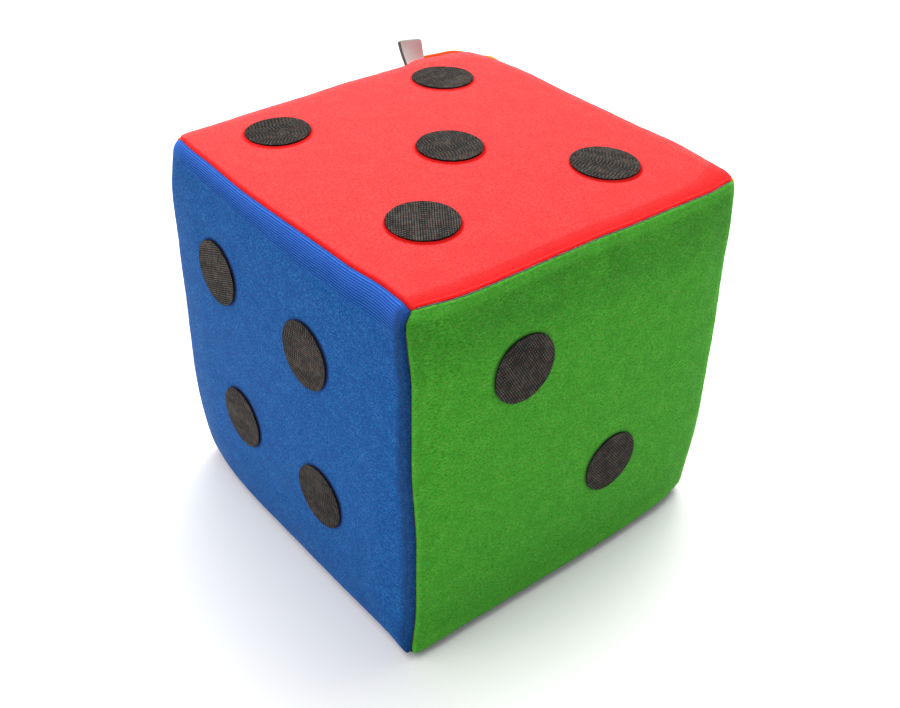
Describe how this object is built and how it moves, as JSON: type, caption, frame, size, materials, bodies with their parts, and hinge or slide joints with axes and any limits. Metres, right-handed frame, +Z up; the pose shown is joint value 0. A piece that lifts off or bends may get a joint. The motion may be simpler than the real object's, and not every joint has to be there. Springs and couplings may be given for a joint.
{
  "type": "hook and loop activity cube",
  "caption": "Soft foam cube covered in coloured loop fabric, with round dark hook coins stuck to its faces like dice dots that peel off and stick back on.",
  "frame": {"origin": "on the floor under the middle of the cube", "axes": "+Z up, out of the red top face; -Y out of the green front face; -X out of the blue left face"},
  "size_m": [0.1569, 0.1583, 0.1608],
  "materials": {
    "foam": "matte",
    "loop_fabric_red": "matte",
    "loop_fabric_blue": "matte",
    "loop_fabric_green": "matte",
    "loop_fabric_yellow": "matte",
    "loop_fabric_orange": "matte",
    "loop_fabric_purple": "matte",
    "sewing_thread": "matte",
    "label_ribbon": "satin",
    "hook_tape": "matte"
  },
  "bodies": {
    "cube": {"foam_core": "foam", "cover_panel_top": "loop_fabric_red", "cover_panel_left": "loop_fabric_blue", "cover_panel_front": "loop_fabric_green", "cover_panel_right": "loop_fabric_yellow", "cover_panel_back": "loop_fabric_orange", "cover_panel_bottom": "loop_fabric_purple", "seam_thread_top_front": "sewing_thread", "seam_thread_top_back": "sewing_thread", "seam_thread_top_left": "sewing_thread", "seam_thread_top_right": "sewing_thread", "seam_thread_bottom_front": "sewing_thread", "seam_thread_bottom_back": "sewing_thread", "seam_thread_bottom_left": "sewing_thread", "seam_thread_bottom_right": "sewing_thread", "seam_thread_front_left": "sewing_thread", "seam_thread_front_right": "sewing_thread", "seam_thread_back_left": "sewing_thread", "seam_thread_back_right": "sewing_thread", "sewn_label": "label_ribbon"},
    "coin_top_1": {"hook_coin_top_1": "hook_tape"},
    "coin_top_2": {"hook_coin_top_2": "hook_tape"},
    "coin_top_3": {"hook_coin_top_3": "hook_tape"},
    "coin_top_4": {"hook_coin_top_4": "hook_tape"},
    "coin_top_5": {"hook_coin_top_5": "hook_tape"},
    "coin_left_1": {"hook_coin_left_1": "hook_tape"},
    "coin_left_2": {"hook_coin_left_2": "hook_tape"},
    "coin_left_3": {"hook_coin_left_3": "hook_tape"},
    "coin_left_4": {"hook_coin_left_4": "hook_tape"},
    "coin_front_1": {"hook_coin_front_1": "hook_tape"},
    "coin_front_2": {"hook_coin_front_2": "hook_tape"},
    "coin_right_1": {"hook_coin_right_1": "hook_tape"},
    "coin_right_2": {"hook_coin_right_2": "hook_tape"},
    "coin_right_3": {"hook_coin_right_3": "hook_tape"},
    "coin_back_1": {"hook_coin_back_1": "hook_tape"},
    "coin_back_2": {"hook_coin_back_2": "hook_tape"},
    "coin_back_3": {"hook_coin_back_3": "hook_tape"},
    "coin_back_4": {"hook_coin_back_4": "hook_tape"},
    "coin_back_5": {"hook_coin_back_5": "hook_tape"},
    "coin_back_6": {"hook_coin_back_6": "hook_tape"},
    "coin_bottom_1": {"hook_coin_bottom_1": "hook_tape"}
  },
  "joints": [
    {"name": "peel_top_1", "type": "slide", "parent": "cube", "child": "coin_top_1", "axis": [0, 0, 1], "range_m": [0, 0.03]},
    {"name": "peel_top_2", "type": "slide", "parent": "cube", "child": "coin_top_2", "axis": [0, 0, 1], "range_m": [0, 0.03]},
    {"name": "peel_top_3", "type": "slide", "parent": "cube", "child": "coin_top_3", "axis": [0, 0, 1], "range_m": [0, 0.03]},
    {"name": "peel_top_4", "type": "slide", "parent": "cube", "child": "coin_top_4", "axis": [0, 0, 1], "range_m": [0, 0.03]},
    {"name": "peel_top_5", "type": "slide", "parent": "cube", "child": "coin_top_5", "axis": [0, 0, 1], "range_m": [0, 0.03]},
    {"name": "peel_left_1", "type": "slide", "parent": "cube", "child": "coin_left_1", "axis": [-1, 0, 0], "range_m": [0, 0.03]},
    {"name": "peel_left_2", "type": "slide", "parent": "cube", "child": "coin_left_2", "axis": [-1, 0, 0], "range_m": [0, 0.03]},
    {"name": "peel_left_3", "type": "slide", "parent": "cube", "child": "coin_left_3", "axis": [-1, 0, 0], "range_m": [0, 0.03]},
    {"name": "peel_left_4", "type": "slide", "parent": "cube", "child": "coin_left_4", "axis": [-1, 0, 0], "range_m": [0, 0.03]},
    {"name": "peel_front_1", "type": "slide", "parent": "cube", "child": "coin_front_1", "axis": [0, -1, 0], "range_m": [0, 0.03]},
    {"name": "peel_front_2", "type": "slide", "parent": "cube", "child": "coin_front_2", "axis": [0, -1, 0], "range_m": [0, 0.03]},
    {"name": "peel_right_1", "type": "slide", "parent": "cube", "child": "coin_right_1", "axis": [1, 0, 0], "range_m": [0, 0.03]},
    {"name": "peel_right_2", "type": "slide", "parent": "cube", "child": "coin_right_2", "axis": [1, 0, 0], "range_m": [0, 0.03]},
    {"name": "peel_right_3", "type": "slide", "parent": "cube", "child": "coin_right_3", "axis": [1, 0, 0], "range_m": [0, 0.03]},
    {"name": "peel_back_1", "type": "slide", "parent": "cube", "child": "coin_back_1", "axis": [0, 1, 0], "range_m": [0, 0.03]},
    {"name": "peel_back_2", "type": "slide", "parent": "cube", "child": "coin_back_2", "axis": [0, 1, 0], "range_m": [0, 0.03]},
    {"name": "peel_back_3", "type": "slide", "parent": "cube", "child": "coin_back_3", "axis": [0, 1, 0], "range_m": [0, 0.03]},
    {"name": "peel_back_4", "type": "slide", "parent": "cube", "child": "coin_back_4", "axis": [0, 1, 0], "range_m": [0, 0.03]},
    {"name": "peel_back_5", "type": "slide", "parent": "cube", "child": "coin_back_5", "axis": [0, 1, 0], "range_m": [0, 0.03]},
    {"name": "peel_back_6", "type": "slide", "parent": "cube", "child": "coin_back_6", "axis": [0, 1, 0], "range_m": [0, 0.03]},
    {"name": "peel_bottom_1", "type": "slide", "parent": "cube", "child": "coin_bottom_1", "axis": [0, 0, -1], "range_m": [0, 0.03]}
  ]
}
